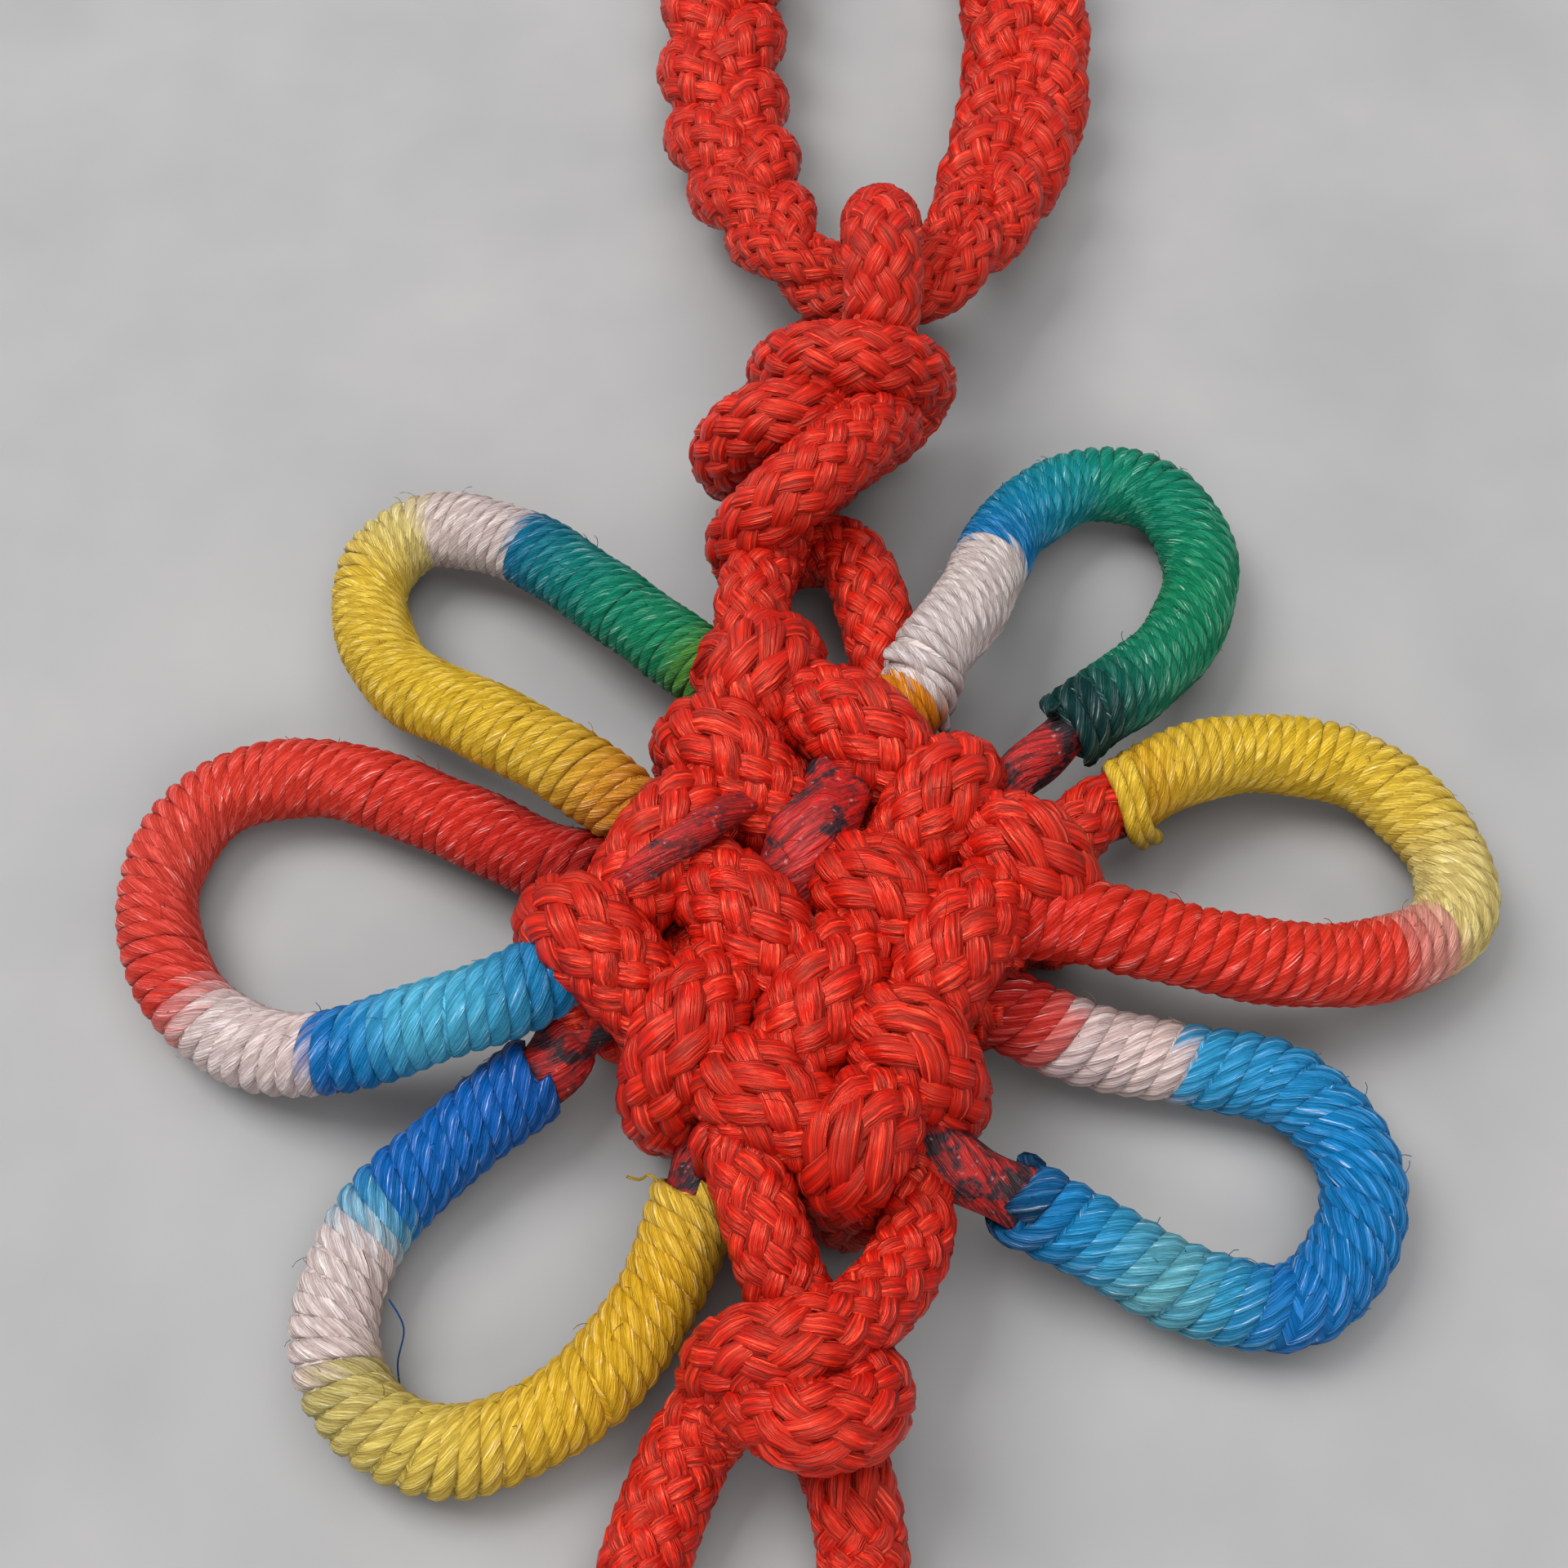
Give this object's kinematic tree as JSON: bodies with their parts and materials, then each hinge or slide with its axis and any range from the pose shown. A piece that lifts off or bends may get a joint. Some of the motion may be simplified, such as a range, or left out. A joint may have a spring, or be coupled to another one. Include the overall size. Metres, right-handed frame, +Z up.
{
  "type": "decorative knot",
  "caption": "Flat flower knot of red cord with thread-wrapped ears, a connection knot above and below, two short tails and a plaited hanging loop.",
  "frame": {"origin": "on the resting plane, on the flattened underside of a crossing at the middle of the weave", "axes": "+Z up out of the surface the knot lies on, +Y towards the hanging loop, +X to the right seen from above"},
  "size_m": [0.0323, 0.0613, 0.0065],
  "materials": {
    "red_cord": "braided nylon cord, satin",
    "red_plait": "plaited cord, soft satin",
    "green_blue_thread": "silky thread winding in green, blue, white and yellow",
    "red_blue_thread": "silky thread winding in red, white and blue",
    "blue_yellow_thread": "silky thread winding in blue, white and yellow",
    "yellow_red_thread": "silky thread winding in yellow and red",
    "blue_thread": "silky thread winding in red, white and blues"
  },
  "bodies": {
    "root": {"knot_cord": "red_cord", "hanging_loop": "red_plait", "ear_wrap_upper_left": "green_blue_thread", "ear_wrap_left": "red_blue_thread", "ear_wrap_lower_left": "blue_yellow_thread", "ear_wrap_upper_right": "green_blue_thread", "ear_wrap_right": "yellow_red_thread", "ear_wrap_lower_right": "blue_thread"}
  },
  "joints": []
}
